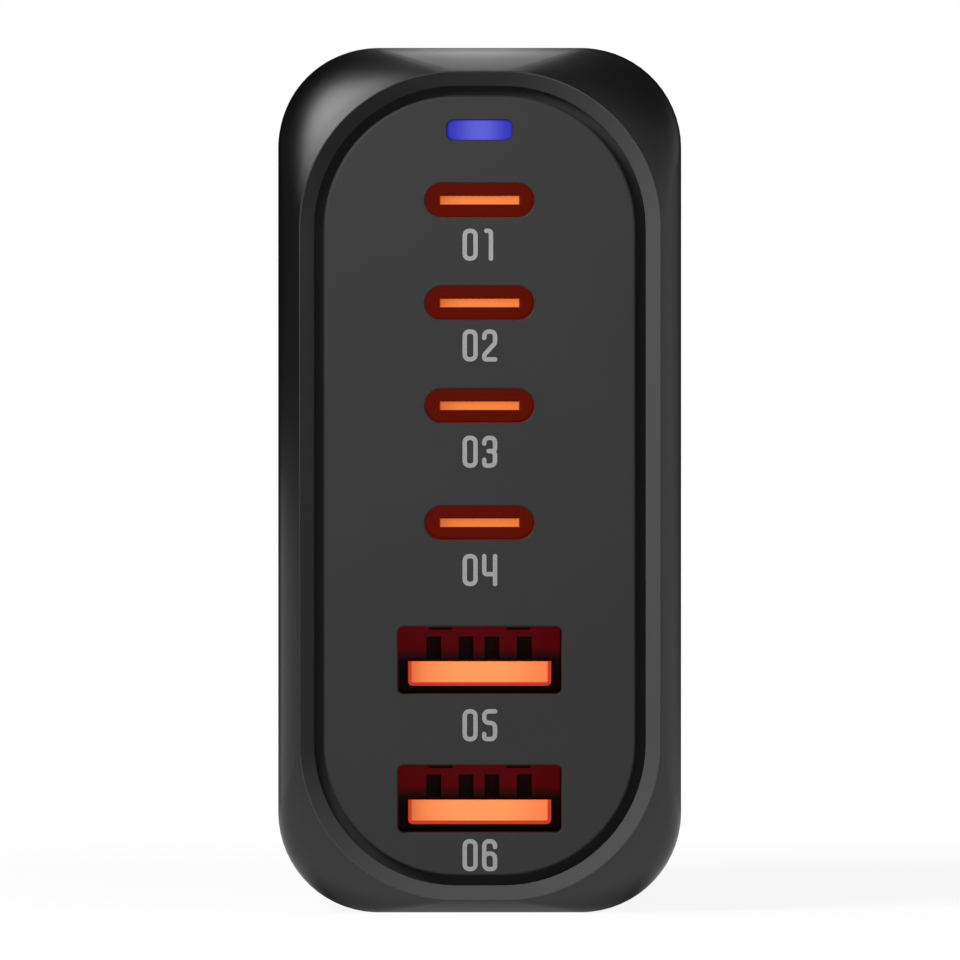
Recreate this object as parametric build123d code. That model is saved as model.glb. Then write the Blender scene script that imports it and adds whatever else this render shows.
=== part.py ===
from build123d import *
import os
from math import cos, radians, sin, sqrt

# Multi-port USB desktop charger, in millimetres. X runs across the port face, Y from the
# ports back to the mains inlet and Z up from the desk that the charger stands on.

# Port plate: its height follows from the ports that it carries
plate_width = 24.0
plate_corner_radius = 10.2
plate_setback = 0.9
plate_face_thickness = 1.2
plate_edge_rounding = 0.25
plate_flange_thickness = 1.4
port_reveal = 0.04
port_lead_in = 0.1
led_drop = 2.65
first_port_drop = 8.05
usb_c_pitch = 7.9
usb_c_last_pitch = 9.0
usb_c_to_a_pitch = 10.55
usb_a_pitch = 10.65
last_port_rise = 5.9

# Housing sleeve: rounded nose, chamfered mouth, shadow groove round the plate
groove_width = 0.75
mouth_chamfer = 1.1
frame_side = 1.65
frame_top = 1.82
frame_bottom = 1.03
body_corner_radius = 7.7
wall = 2.0
lip_depth = 2.6
nose_depth = 3.0
nose_sweep = 55.0
nose_steps = 4
crest_rounding = 0.1
guide_thickness = 1.0
guide_overlap = 1.2
guide_length = 6.0

# Rear cover
cover_thickness = 2.4
cover_edge_rounding = 1.5
parting_chamfer = 0.3
spigot_depth = 3.0
spigot_wall = 1.4

# Clearances: sliding fits, tight fits and boards in the sleeve
fit_clearance = 0.1
tight_clearance = 0.02
board_clearance = 0.3
part_gap = 0.8

# USB-C receptacles
usb_c_width = 8.34
usb_c_height = 2.56
shell_wall = 0.3
port_length = 10.5
usb_c_base_length = 3.6
usb_c_root_length = 1.3
usb_c_root_height = 1.3
usb_c_tongue_width = 6.69
usb_c_tongue_height = 0.7
usb_c_tip_recess = 0.5
usb_c_tip_chamfer = 0.35
usb_c_tip_bevel = 0.07
usb_c_contact_count = 12
usb_c_contact_pitch = 0.5
usb_c_contact_width = 0.25
usb_c_contact_thickness = 0.1
usb_c_contact_setback = 0.6

# USB-A receptacles
usb_a_width = 12.5
usb_a_height = 5.12
usb_a_corner_radius = 0.4
usb_a_base_length = 2.2
usb_a_tongue_width = 11.0
usb_a_tongue_height = 1.88
usb_a_tongue_drop = 1.05
usb_a_tongue_rounding = 0.35
usb_a_tip_recess = 0.6
usb_a_tip_chamfer = 0.3
usb_a_slot_places = (-3.5, -1.0, 1.0, 3.5)
usb_a_slot_width = 1.15
usb_a_slot_height = 1.75
usb_a_slot_depth = 1.6
usb_a_groove_depth = 0.45
usb_a_groove_setback = 0.9
usb_a_contact_width = 0.9
usb_a_contact_thickness = 0.2
usb_a_contact_bow = 0.3
usb_a_contact_foot = 0.6
usb_a_contact_setback = 1.4
usb_a_spring_width = 1.8
usb_a_spring_length = 4.5
usb_a_spring_offset = 3.0
usb_a_spring_setback = 1.2
usb_a_spring_dip = 0.28
usb_a_spring_slit = 0.2

# Status light
window_width = 5.0
window_height = 1.5
window_corner_radius = 0.5
pipe_ear = 0.7
pipe_ear_thickness = 0.8
pipe_stem_rim = 0.5
led_width = 2.0
led_height = 1.25
led_thickness = 0.9
led_air_gap = 0.2

# Mains inlet: a figure-eight well with two round pins
pin_pitch = 8.6
pin_diameter = 2.36
pin_shank_diameter = 3.0
pin_tip_rounding = 0.9
pin_recess = 1.0
lobe_radius = 4.1
waist_width = 6.6
well_depth = 10.5
inlet_wall = 1.2
inlet_back_wall = 2.9
inlet_flange_rim = 2.0
inlet_flange_thickness = 1.5
tail_width = 1.6
tail_thickness = 0.8

# Circuit boards
port_board_thickness = 1.2
main_board_thickness = 1.6
solder_side_gap = 1.4
sheet_thickness = 0.4
header_size = 2.5
header_pitch = 2.54
header_ways = 6

# Parts on the back of the port board
inductor_size = 7.0
inductor_height = 5.0
inductor_edge_rounding = 0.6
inductor_offset = 3.0
protocol_chip_size = 5.0
protocol_chip_height = 0.9

# Parts on the main board, from the outputs back to the mains side
output_cap_diameter = 8.0
output_cap_height = 12.0
output_cap_pitch = 20.0
switch_chip_size = 8.0
rectifier_chip_size = 6.0
power_chip_height = 1.0
core_width = 24.0
core_depth = 18.0
core_plate = 3.5
core_leg = 3.0
core_post_diameter = 9.0
bobbin_wall = 0.8
bobbin_rail = 1.0
winding_diameter = 16.6
bulk_cap_diameter = 16.0
bulk_cap_height = 20.0
can_crimp_height = 2.2
can_crimp_width = 1.0
can_crimp_depth = 0.5
can_edge_rounding = 0.8
bridge_length = 15.0
bridge_depth = 3.6
bridge_height = 10.5
bridge_notch = 3.0
lead_length = 1.8
lead_diameter = 0.7
choke_core_diameter = 12.0
choke_core_bore = 6.4
choke_core_thickness = 5.0
choke_wire_build = 1.0
choke_winding_arc = 140.0
choke_base_floor = 0.8
choke_base_height = 3.0
choke_base_length = 9.0
x_cap_length = 13.0
x_cap_depth = 6.0
x_cap_height = 12.0
x_cap_edge_rounding = 0.6
y_cap_diameter = 7.0
y_cap_thickness = 3.6
fuse_diameter = 7.6
fuse_height = 7.8
varistor_diameter = 7.6
varistor_thickness = 4.0
pad_thickness = 1.0
spreader_thickness = 0.8
spreader_edge_margin = 1.5

# Heights of the ports above the desk
usb_c_drops = [first_port_drop + usb_c_pitch * step for step in range(3)]
usb_c_drops.append(usb_c_drops[-1] + usb_c_last_pitch)
usb_a_drops = [usb_c_drops[-1] + usb_c_to_a_pitch]
usb_a_drops.append(usb_a_drops[-1] + usb_a_pitch)
plate_height = usb_a_drops[-1] + last_port_rise
crest_margin = groove_width + mouth_chamfer
plate_top_z = frame_bottom + crest_margin + plate_height
plate_middle_z = plate_top_z - plate_height / 2
usb_c_heights = [plate_top_z - drop for drop in usb_c_drops]
usb_a_heights = [plate_top_z - drop for drop in usb_a_drops]
led_z = plate_top_z - led_drop

# Overall width and height, and the hollow of the sleeve
body_width = plate_width + 2 * (crest_margin + frame_side)
body_height = plate_top_z + crest_margin + frame_top
middle_z = body_height / 2
cavity_half_width = body_width / 2 - wall
cavity_half_height = body_height / 2 - wall
cavity_radius = body_corner_radius - wall

# Depth: what stands behind what, added up from the crest of the nose to the back of the cover
bobbin_depth = core_depth + 2 * bobbin_rail
choke_depth = choke_core_thickness + 2 * choke_wire_build
inlet_depth = well_depth + inlet_back_wall
output_zone = max(output_cap_diameter, switch_chip_size)
power_zone = max(bobbin_depth, bulk_cap_diameter)
filter_zone = max(choke_depth, x_cap_depth, bridge_depth, y_cap_thickness)
board_stack = plate_setback + plate_face_thickness + port_length + port_board_thickness
part_stack = inductor_height + output_zone + power_zone + filter_zone + tail_thickness + 5 * part_gap
body_depth = board_stack + part_stack + inlet_depth
crest_y = -body_depth / 2
back_y = body_depth / 2
plate_face_y = crest_y + plate_setback
plate_back_y = plate_face_y + plate_face_thickness
lip_back_y = crest_y + lip_depth
nose_back_y = crest_y + nose_depth
port_board_front_y = plate_back_y + port_length
port_board_back_y = port_board_front_y + port_board_thickness
output_y = port_board_back_y + inductor_height + part_gap + output_zone / 2
power_y = output_y + output_zone / 2 + part_gap + power_zone / 2
filter_y = power_y + power_zone / 2 + part_gap + filter_zone / 2
cover_y = back_y - cover_thickness
inlet_front_y = back_y - inlet_depth
well_floor_y = back_y - well_depth
tail_y = inlet_front_y - part_gap
main_board_back_y = cover_y - spigot_depth - part_gap
inlet_part_y = (tail_y + main_board_back_y) / 2

# Width: sheet, main board, parts, pad and heat spreader from the left wall to the right one
sheet_x = -cavity_half_width + sheet_thickness
main_board_back_x = sheet_x + solder_side_gap
main_board_x = main_board_back_x + main_board_thickness
spreader_x = cavity_half_width - spreader_thickness
core_height = spreader_x - pad_thickness - main_board_x


def cavity_rise(x):
    """Half the height of the sleeve's hollow at a distance x from its middle plane."""
    into_corner = max(0.0, abs(x) - (cavity_half_width - cavity_radius))
    return cavity_half_height - cavity_radius + sqrt(cavity_radius**2 - into_corner**2)


main_board_rise = cavity_rise(main_board_back_x) - board_clearance
flat_rise = cavity_half_height - cavity_radius - spreader_edge_margin


def at_depth(sketch, y):
    """Stand a sketch drawn in X and Z upright at the depth y."""
    return Plane(origin=(0, y, 0), x_dir=(1, 0, 0), z_dir=(0, -1, 0)) * sketch


def upright(sketch, front_y, rear_y):
    """Prism of an upright sketch between two depths."""
    return extrude(at_depth(sketch, front_y), amount=front_y - rear_y)


def body_outline(inset):
    """Outline of the charger from the front, drawn in by an inset."""
    width = body_width - 2 * inset
    height = body_height - 2 * inset
    return Pos(0, middle_z) * RectangleRounded(width, height, body_corner_radius - inset)


def plate_outline(outset):
    """Outline of the port plate, grown by an outset."""
    width = plate_width + 2 * outset
    height = plate_height + 2 * outset
    return Pos(0, plate_middle_z) * RectangleRounded(width, height, plate_corner_radius + outset)


def usb_c_outline(outset):
    """Round-ended outline of a USB-C port, grown by an outset."""
    return SlotOverall(usb_c_width + 2 * outset, usb_c_height + 2 * outset)


def usb_a_outline(outset):
    """Outline of a USB-A port, grown by an outset."""
    width = usb_a_width + 2 * outset
    height = usb_a_height + 2 * outset
    return RectangleRounded(width, height, usb_a_corner_radius + outset)


def on_main_board(shape, y, z):
    """Set a part, drawn with its height along Z and its length along Y, on the main board's face."""
    return Plane(origin=(main_board_x, y, z), x_dir=(0, 1, 0), z_dir=(1, 0, 0)) * shape


def on_port_board(shape, x, z):
    """Set a part, drawn with its height along Z, on the back of the port board."""
    return Plane(origin=(x, port_board_back_y, z), x_dir=(1, 0, 0), z_dir=(0, 1, 0)) * shape


def standing(sketch, height):
    """Prism that stands on Z = 0."""
    return extrude(sketch, amount=height)


def bent_strip(underside, thickness, width):
    """Strip of sheet metal along Y, whose underside runs through points of depth and height."""
    outline = underside + [(y, z + thickness) for y, z in reversed(underside)]
    profile = make_face(Plane.YZ * Polyline(*outline, close=True))
    return extrude(profile, amount=width / 2, both=True)


def nose():
    """Convex front end: from the body's outline forward to the wider-cornered crest of the mouth."""
    crest_width = plate_width + 2 * crest_margin
    crest_height = plate_height + 2 * crest_margin
    crest_radius = plate_corner_radius + crest_margin
    sections = []
    for step in range(nose_steps + 1):
        angle = radians(nose_sweep * step / nose_steps)
        blend = (1 - cos(angle)) / (1 - cos(radians(nose_sweep)))
        advance = sin(angle) / sin(radians(nose_sweep))
        width = body_width + (crest_width - body_width) * blend
        height = body_height + (crest_height - body_height) * blend
        radius = body_corner_radius + (crest_radius - body_corner_radius) * blend
        centre_z = middle_z + (plate_middle_z - middle_z) * blend
        outline = Pos(0, centre_z) * RectangleRounded(width, height, radius)
        sections.append(at_depth(outline, nose_back_y - nose_depth * advance))
    return loft(sections)


def housing():
    """Moulded sleeve, open at the back, with the plate's mouth in front and guides for the main board."""
    sleeve = nose() + upright(body_outline(0), nose_back_y, cover_y)
    mouth_floor_y = crest_y + mouth_chamfer
    mouth_crest = at_depth(plate_outline(crest_margin), crest_y)
    mouth_floor = at_depth(plate_outline(groove_width), mouth_floor_y)
    sleeve -= loft([mouth_crest, mouth_floor])
    crest = [edge for edge in sleeve.edges() if abs(edge.center().Y - crest_y) < tight_clearance]
    sleeve = fillet(crest, crest_rounding)
    sleeve = chamfer(sleeve.faces().sort_by(Axis.Y)[-1].edges(), parting_chamfer)
    sleeve -= upright(plate_outline(groove_width), mouth_floor_y, lip_back_y)
    sleeve -= upright(body_outline(wall), lip_back_y, cover_y)
    return sleeve + board_guides()


def board_guides():
    """Short ribs in pairs, above and below, that take the edges of the main board."""
    guide_rise = main_board_rise - guide_overlap
    reach = cavity_half_height + wall / 2 - guide_rise
    fronts = (port_board_back_y + part_gap, main_board_back_y - guide_length)
    left_x = main_board_back_x - fit_clearance - guide_thickness / 2
    right_x = main_board_x + fit_clearance + guide_thickness / 2
    guides = []
    for front in fronts:
        for x in (left_x, right_x):
            for side in (-1, 1):
                z = middle_z + side * (guide_rise + reach / 2)
                guides.append(Pos(x, front + guide_length / 2, z) * Box(guide_thickness, guide_length, reach))
    inner_skin = upright(body_outline(wall / 2), lip_back_y, cover_y)
    return Part() + [guide & inner_skin for guide in guides]


def port_plate():
    """Dished plate: a raised face in the mouth and a flange behind the housing's lip."""
    flange_back_y = lip_back_y + plate_flange_thickness
    plate = upright(plate_outline(0), plate_face_y, flange_back_y)
    plate = fillet(plate.faces().sort_by(Axis.Y)[0].edges(), plate_edge_rounding)
    plate += upright(body_outline(wall + fit_clearance), lip_back_y, flange_back_y)
    plate -= upright(plate_outline(-plate_face_thickness), plate_back_y, flange_back_y)
    window = RectangleRounded(window_width, window_height, window_corner_radius)
    openings = [Pos(0, z) * usb_c_outline(port_reveal) for z in usb_c_heights]
    openings += [Pos(0, z) * usb_a_outline(port_reveal) for z in usb_a_heights]
    openings.append(Pos(0, led_z) * window)
    for opening in openings:
        plate -= upright(opening, plate_face_y, plate_back_y)
    rims = [wire.edges() for wire in plate.faces().sort_by(Axis.Y)[0].inner_wires()]
    return chamfer([edge for rim in rims for edge in rim], port_lead_in)


def light_pipe():
    """Clear window with two ears behind the plate and a stem that reaches back to the lamp."""
    head_width = window_width - 2 * fit_clearance
    head_height = window_height - 2 * fit_clearance
    head = RectangleRounded(head_width, head_height, window_corner_radius - fit_clearance)
    ears = Rectangle(window_width + 2 * pipe_ear, window_height)
    stem = Rectangle(window_width - 2 * pipe_stem_rim, window_height - pipe_stem_rim)
    ear_back_y = plate_back_y + pipe_ear_thickness
    stem_back_y = port_board_front_y - led_thickness - led_air_gap
    pipe = upright(head, plate_face_y, plate_back_y)
    pipe += upright(ears, plate_back_y, ear_back_y)
    pipe += upright(stem, ear_back_y, stem_back_y)
    return Pos(0, 0, led_z) * pipe


def status_led():
    """Lamp on the front of the port board, behind the light pipe."""
    lamp = upright(Rectangle(led_width, led_height), port_board_front_y - led_thickness, port_board_front_y)
    return Pos(0, 0, led_z) * lamp


def usb_c_shell():
    """Drawn steel tube with round ends, from the plate back to the port board."""
    section = usb_c_outline(shell_wall) - usb_c_outline(0)
    return upright(section, plate_back_y, port_board_front_y)


usb_c_root_y = port_board_front_y - usb_c_base_length - usb_c_root_length
usb_c_tip_y = plate_back_y + usb_c_tip_recess


def usb_c_tongue():
    """Moulded insulator: a plug in the back of the shell, a thick root and the thin grooved tongue."""
    base_front_y = port_board_front_y - usb_c_base_length
    insulator = upright(usb_c_outline(-tight_clearance), base_front_y, port_board_front_y)
    insulator += upright(Rectangle(usb_c_tongue_width, usb_c_root_height), usb_c_root_y, base_front_y)
    tongue = upright(Rectangle(usb_c_tongue_width, usb_c_tongue_height), usb_c_tip_y, usb_c_root_y)
    tongue = chamfer(tongue.edges().filter_by(Axis.Z).group_by(Axis.Y)[0], usb_c_tip_chamfer)
    tongue = chamfer(tongue.edges().filter_by(Axis.X).group_by(Axis.Y)[0], usb_c_tip_bevel)
    return insulator + tongue - usb_c_contacts()


def usb_c_contacts():
    """Two rows of flat contacts, flush with the upper and lower faces of the tongue."""
    row_width = usb_c_contact_pitch * (usb_c_contact_count - 1)
    rise = (usb_c_tongue_height - usb_c_contact_thickness) / 2
    strips = []
    for column in range(usb_c_contact_count):
        x = usb_c_contact_pitch * column - row_width / 2
        for side in (-1, 1):
            section = Pos(x, side * rise) * Rectangle(usb_c_contact_width, usb_c_contact_thickness)
            strips.append(upright(section, usb_c_tip_y + usb_c_contact_setback, usb_c_root_y))
    return Compound([strip.solid() for strip in strips])


def usb_a_shell():
    """Folded steel box, from the plate back to the port board, with two spring fingers in its top."""
    section = usb_a_outline(shell_wall) - usb_a_outline(0)
    shell = upright(section, plate_back_y, port_board_front_y)
    ceiling = usb_a_height / 2
    cut_y = plate_back_y + usb_a_spring_setback
    tip_y = cut_y + usb_a_spring_slit
    crown_y = cut_y + usb_a_spring_length / 4
    root_y = cut_y + usb_a_spring_length
    bends = [(root_y + shell_wall, 0), (root_y, 0)]
    bends += [(crown_y, usb_a_spring_dip), (tip_y, usb_a_spring_dip / 2)]
    underside = [(y, ceiling - dip) for y, dip in bends]
    finger = bent_strip(underside, shell_wall, usb_a_spring_width)
    cut_width = usb_a_spring_width + 2 * usb_a_spring_slit
    cut = Pos(0, ceiling + shell_wall / 2) * Rectangle(cut_width, shell_wall)
    for side in (-1, 1):
        place = Pos(side * usb_a_spring_offset, 0, 0)
        shell -= place * upright(cut, cut_y, root_y)
        shell += place * finger
    return shell


usb_a_wall_y = port_board_front_y - usb_a_base_length
usb_a_tip_y = plate_back_y + usb_a_tip_recess
usb_a_groove_floor = usb_a_tongue_height / 2 - usb_a_tongue_drop - usb_a_groove_depth


def usb_a_insulator():
    """Moulded insulator: a back wall, a broad tongue and four slots along its top and into the wall."""
    insulator = upright(usb_a_outline(-tight_clearance), usb_a_wall_y, port_board_front_y)
    section = Pos(0, -usb_a_tongue_drop) * Rectangle(usb_a_tongue_width, usb_a_tongue_height)
    section = fillet(section.vertices().group_by(Axis.Y)[0], usb_a_tongue_rounding)
    tongue = upright(section, usb_a_tip_y, usb_a_wall_y)
    tip_edges = tongue.edges().group_by(Axis.Y)[0].sort_by(Axis.Z)[:-1]
    insulator += chamfer(tip_edges, usb_a_tip_chamfer)
    slot_rise = usb_a_groove_depth + usb_a_slot_height
    slot = Pos(0, usb_a_groove_floor + slot_rise / 2) * Rectangle(usb_a_slot_width, slot_rise)
    for x in usb_a_slot_places:
        groove_y = usb_a_tip_y + usb_a_groove_setback
        insulator -= Pos(x, 0, 0) * upright(slot, groove_y, usb_a_wall_y + usb_a_slot_depth)
    return insulator


def usb_a_contacts():
    """Four bowed spring contacts that lie in the grooves of the tongue and run into the slots."""
    heel_y = usb_a_wall_y + usb_a_slot_depth / 2
    toe_y = usb_a_tip_y + usb_a_contact_setback
    foot_y = usb_a_wall_y - usb_a_contact_foot
    crown_y = (foot_y + toe_y) / 2
    bends = [(heel_y, 0), (foot_y, 0), (crown_y, usb_a_contact_bow), (toe_y, 0)]
    underside = [(y, usb_a_groove_floor + rise) for y, rise in bends]
    spring = bent_strip(underside, usb_a_contact_thickness, usb_a_contact_width)
    return Compound([Pos(x, 0, 0) * spring.solid() for x in usb_a_slot_places])


def inlet_boss(outset):
    """Outline of the mains inlet's round-ended boss, which stands upright in the cover."""
    boss_width = 2 * (lobe_radius + inlet_wall + outset)
    return Pos(0, middle_z) * SlotCenterToCenter(pin_pitch, boss_width, rotation=90)


def rear_cover():
    """Back of the charger: a flush plate with a rim that enters the sleeve and an opening for the inlet."""
    cover = upright(body_outline(0), cover_y, back_y)
    cover = fillet(cover.faces().sort_by(Axis.Y)[-1].edges(), cover_edge_rounding)
    cover = chamfer(cover.faces().sort_by(Axis.Y)[0].edges(), parting_chamfer)
    rim = body_outline(wall + fit_clearance) - body_outline(wall + fit_clearance + spigot_wall)
    cover += upright(rim, cover_y - spigot_depth, cover_y)
    return cover - upright(inlet_boss(fit_clearance), cover_y, back_y)


def inlet_body():
    """Two-pin mains inlet: a figure-eight well, with a flange held behind the cover."""
    body = upright(inlet_boss(0), inlet_front_y, back_y)
    flange_length = pin_pitch + 2 * (lobe_radius + inlet_wall + inlet_flange_rim)
    flange_width = 2 * (lobe_radius + inlet_wall + inlet_flange_rim)
    flange = Pos(0, middle_z) * RectangleRounded(flange_width, flange_length, inlet_flange_rim)
    body += upright(flange, cover_y - inlet_flange_thickness, cover_y)
    well = Rectangle(waist_width, pin_pitch)
    bores = Sketch()
    for side in (-1, 1):
        well += Pos(0, side * pin_pitch / 2) * Circle(lobe_radius)
        bores += Pos(0, side * pin_pitch / 2) * Circle(pin_shank_diameter / 2 + tight_clearance)
    body -= upright(Pos(0, middle_z) * well, well_floor_y, back_y)
    return body - upright(Pos(0, middle_z) * bores, inlet_front_y, well_floor_y)


def inlet_pin(side):
    """Round pin with a domed tip, a thick shank in the inlet's wall and a tail to the main board."""
    tail_front_y = tail_y - tail_thickness
    shank_radius = pin_shank_diameter / 2
    pin = upright(Circle(pin_diameter / 2), well_floor_y, back_y - pin_recess)
    pin = fillet(pin.faces().sort_by(Axis.Y)[-1].edges(), pin_tip_rounding)
    pin += upright(Circle(shank_radius), tail_front_y, well_floor_y)
    tail_length = shank_radius - main_board_x
    tail = Pos(shank_radius - tail_length / 2, 0) * Rectangle(tail_length, tail_width)
    pin += upright(tail, tail_front_y, tail_y)
    return Pos(0, 0, middle_z + side * pin_pitch / 2) * pin


def port_board():
    """Upright board behind the ports."""
    return upright(body_outline(wall + board_clearance), port_board_front_y, port_board_back_y)


def main_board():
    """Power board along the left wall, from the port board back to the cover."""
    length = main_board_back_y - port_board_back_y
    board = Box(main_board_thickness, length, 2 * main_board_rise)
    middle_y = (port_board_back_y + main_board_back_y) / 2
    return Pos(main_board_x - main_board_thickness / 2, middle_y, middle_z) * board


def board_header():
    """Connector strip in the corner between the two boards, with a notch between the ways."""
    strip = Rectangle(header_size, header_pitch * header_ways)
    for way in range(1, header_ways):
        for side in (-1, 1):
            place = Pos(side * header_size / 2, header_pitch * (way - header_ways / 2))
            strip -= place * Rectangle(header_size / 4, header_size / 4, rotation=45)
    return on_main_board(standing(strip, header_size), port_board_back_y + header_size / 2, middle_z)


def inductor():
    """Moulded power inductor with rounded corners."""
    return standing(RectangleRounded(inductor_size, inductor_size, inductor_edge_rounding), inductor_height)


def can(diameter, height):
    """Capacitor can: a rounded top and the crimp of its rubber seal near the board."""
    body = standing(Circle(diameter / 2), height)
    body = fillet(body.faces().sort_by(Axis.Z)[-1].edges(), can_edge_rounding)
    crimp = Circle(diameter / 2 + can_crimp_depth) - Circle(diameter / 2 - can_crimp_depth)
    return body - Pos(0, 0, can_crimp_height) * standing(crimp, can_crimp_width)


def leaded_disc(diameter, thickness):
    """Disc on edge with two leads down to the board."""
    disc_z = lead_length + diameter / 2
    disc = Plane.YZ.offset(-thickness / 2) * Pos(0, disc_z) * Circle(diameter / 2)
    part = extrude(disc, amount=thickness)
    part = fillet(part.edges(), thickness / 4)
    for side in (-1, 1):
        part += Pos(0, side * diameter / 4) * standing(Circle(lead_diameter / 2), disc_z)
    return part


def core_half():
    """Ferrite half with two outer legs and a round centre post."""
    half_height = core_height / 2
    half = standing(Rectangle(core_depth, core_width), core_plate)
    for side in (-1, 1):
        leg = Pos(0, side * (core_width - core_leg) / 2) * Rectangle(core_depth, core_leg)
        half += standing(leg, half_height)
    return half + standing(Circle(core_post_diameter / 2), half_height)


bobbin_bore_radius = core_post_diameter / 2 + fit_clearance
bobbin_tube_radius = bobbin_bore_radius + bobbin_wall
bobbin_bottom = core_plate + fit_clearance
bobbin_top = core_height - core_plate - fit_clearance
bobbin_width = core_width - 2 * core_leg - 2 * fit_clearance


def transformer_bobbin():
    """Spool on the centre post, with two rails that stand on the board beside the core."""
    bobbin = Pos(0, 0, bobbin_bottom) * standing(Circle(bobbin_tube_radius), bobbin_top - bobbin_bottom)
    flange = standing(Rectangle(bobbin_depth, bobbin_width), bobbin_wall)
    bobbin += Pos(0, 0, bobbin_bottom) * flange
    bobbin += Pos(0, 0, bobbin_top - bobbin_wall) * flange
    rail_thickness = bobbin_rail - fit_clearance
    for side in (-1, 1):
        rail = Pos(side * (bobbin_depth - rail_thickness) / 2, 0) * Rectangle(rail_thickness, bobbin_width)
        bobbin += standing(rail, bobbin_bottom)
    return bobbin - standing(Circle(bobbin_bore_radius), core_height)


def transformer_winding():
    """Taped coil between the flanges of the bobbin."""
    coil = Circle(winding_diameter / 2) - Circle(bobbin_tube_radius + tight_clearance)
    bottom = bobbin_bottom + bobbin_wall
    top = bobbin_top - bobbin_wall
    return Pos(0, 0, bottom) * standing(coil, top - bottom)


choke_radius = choke_core_diameter / 2 + choke_wire_build
choke_axis_height = choke_base_floor + fit_clearance + choke_radius
choke_axis = Axis((0, 0, choke_axis_height), (1, 0, 0))
choke_ring_radius = (choke_core_diameter + choke_core_bore) / 4
choke_ring_width = (choke_core_diameter - choke_core_bore) / 2


def choke_section(outset):
    """Section of the choke's ring, grown by an outset, standing above the ring's axis."""
    section = Rectangle(choke_core_thickness + 2 * outset, choke_ring_width + 2 * outset)
    return Plane.XZ * Pos(0, choke_axis_height + choke_ring_radius) * section


def choke_core():
    """Ferrite ring on edge."""
    return revolve(choke_section(0), axis=choke_axis)


def choke_winding():
    """Two windings on opposite sides of the ring."""
    section = choke_section(choke_wire_build) - choke_section(tight_clearance)
    turn = (180 - choke_winding_arc) / 2
    halves = []
    for start in (turn, 180 + turn):
        half = revolve(section, axis=choke_axis, revolution_arc=choke_winding_arc)
        halves.append(half.rotate(choke_axis, start).solid())
    return Compound(halves)


def choke_base():
    """Plastic cradle that holds the choke on edge."""
    base = standing(Rectangle(choke_depth, choke_base_length), choke_base_height)
    trough = Pos(0, choke_axis_height) * Circle(choke_radius + fit_clearance)
    return base - extrude(Plane.YZ.offset(-choke_depth / 2) * trough, amount=choke_depth)


def bridge_rectifier():
    """Four-lead rectifier block on edge, with its marked corner cut off."""
    face = Pos(0, lead_length + bridge_height / 2) * Rectangle(bridge_length, bridge_height)
    face = chamfer(face.vertices().group_by(Axis.Y)[-1].sort_by(Axis.X)[-1], bridge_notch)
    block = extrude(Plane.YZ.offset(-bridge_depth / 2) * face, amount=bridge_depth)
    for way in range(4):
        place = Pos(0, bridge_length * (way + 0.5) / 4 - bridge_length / 2)
        block += place * standing(Rectangle(lead_diameter, lead_diameter), lead_length + lead_diameter)
    return block


def x_capacitor():
    """Boxed film capacitor."""
    box = standing(Rectangle(x_cap_depth, x_cap_length), x_cap_height)
    return fillet(box.faces().sort_by(Axis.Z)[-1].edges(), x_cap_edge_rounding)


def wall_sheet(x, thickness, front_y, rear_y):
    """Flat sheet against a side wall, within the wall's flat height."""
    sheet = Box(thickness, rear_y - front_y, 2 * flat_rise)
    return Pos(x + thickness / 2, (front_y + rear_y) / 2, middle_z) * sheet


# Heights of the parts in the mains filter row, from the bottom up
filter_lengths = [bridge_length, 2 * choke_radius, x_cap_length, y_cap_diameter]
filter_start = middle_z - (sum(filter_lengths) + part_gap * (len(filter_lengths) - 1)) / 2
filter_heights = []
for length in filter_lengths:
    filter_heights.append(filter_start + length / 2)
    filter_start += length + part_gap
bridge_z, choke_z, x_cap_z, y_cap_z = filter_heights
bulk_cap_offset = core_width / 2 + part_gap + bulk_cap_diameter / 2
chip_offset = output_cap_pitch / 2
inlet_part_offset = pin_pitch / 2 + lobe_radius + inlet_wall + inlet_flange_rim + part_gap + fuse_diameter / 2

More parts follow.
